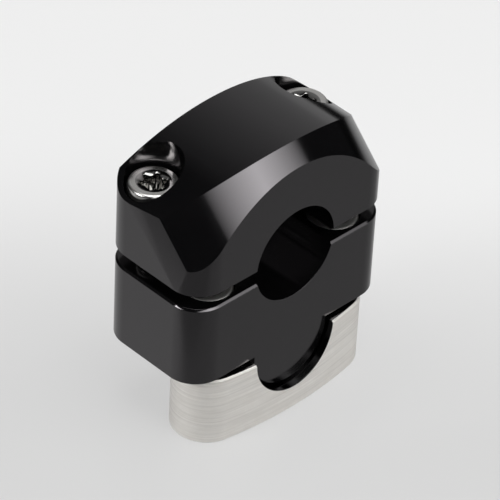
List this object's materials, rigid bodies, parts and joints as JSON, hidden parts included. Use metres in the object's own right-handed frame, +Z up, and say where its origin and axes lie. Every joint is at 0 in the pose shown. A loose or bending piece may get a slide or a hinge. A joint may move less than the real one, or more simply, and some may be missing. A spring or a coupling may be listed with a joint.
{
  "type": "handlebar riser",
  "caption": "Black split bar clamp on a riser block, seated in a bare aluminium saddle base; lifts a motorbike's handlebar above the fork yoke.",
  "frame": {"origin": "centre of the base's underside, on the axis of its fixing thread", "axes": "+Z up, +X along the bar towards the outer side, +Y across the bar to the rear"},
  "size_m": [0.0399, 0.0724, 0.0859],
  "materials": {
    "bare_aluminium": "bare, finely machined",
    "black_anodised": "black anodised, satin",
    "bright_steel": "polished stainless"
  },
  "bodies": {
    "root": {"saddle_base": "bare_aluminium", "riser_block": "black_anodised", "clamp_cap": "black_anodised", "front_clamp_screw": "bright_steel", "rear_clamp_screw": "bright_steel", "front_mounting_screw": "bright_steel", "rear_mounting_screw": "bright_steel"}
  },
  "joints": []
}
